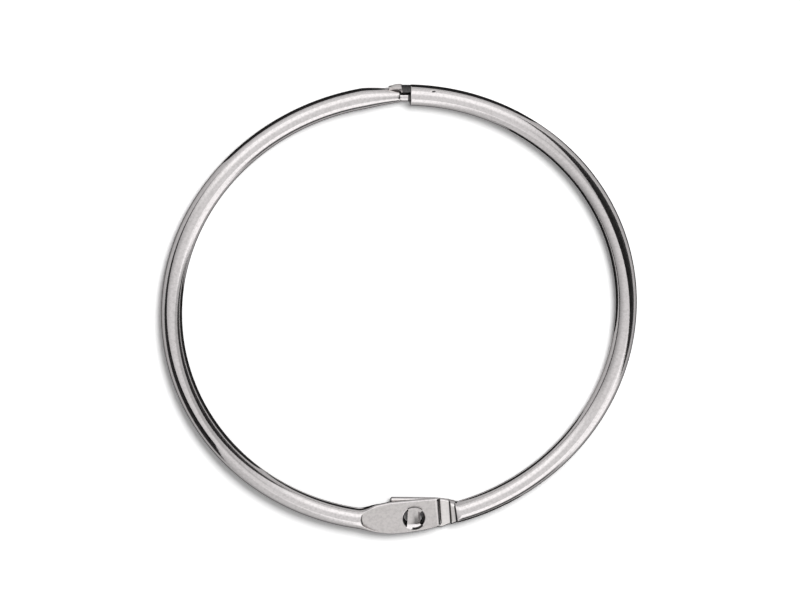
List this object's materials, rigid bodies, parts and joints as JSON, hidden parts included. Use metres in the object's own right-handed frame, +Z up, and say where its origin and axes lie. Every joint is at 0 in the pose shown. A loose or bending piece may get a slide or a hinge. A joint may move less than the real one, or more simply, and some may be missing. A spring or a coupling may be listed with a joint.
{
  "type": "hinged binder ring",
  "caption": "Round ring of bright rolled steel tube in two hinged halves, with a nose that snaps into a mouth, for holding punched sheets or tags together.",
  "frame": {"origin": "centre of the closed ring, on the surface that it lies on", "axes": "+Z up from that surface, along the hinge; +Y from the hinge towards the mouth; +X towards the right half"},
  "size_m": [0.0836, 0.0839, 0.0037],
  "materials": {
    "nickel_plate": "bright nickel plate on rolled steel, with a satin struck face on the front leaf"
  },
  "bodies": {
    "right_half": {"right_half": "nickel_plate"},
    "left_half": {"left_half": "nickel_plate"}
  },
  "joints": [
    {"name": "opening", "type": "hinge", "parent": "right_half", "child": "left_half", "pos_m": [0, -0.0393, 0.00185], "axis": [0, 0, 1], "range_deg": [0, 140]}
  ]
}
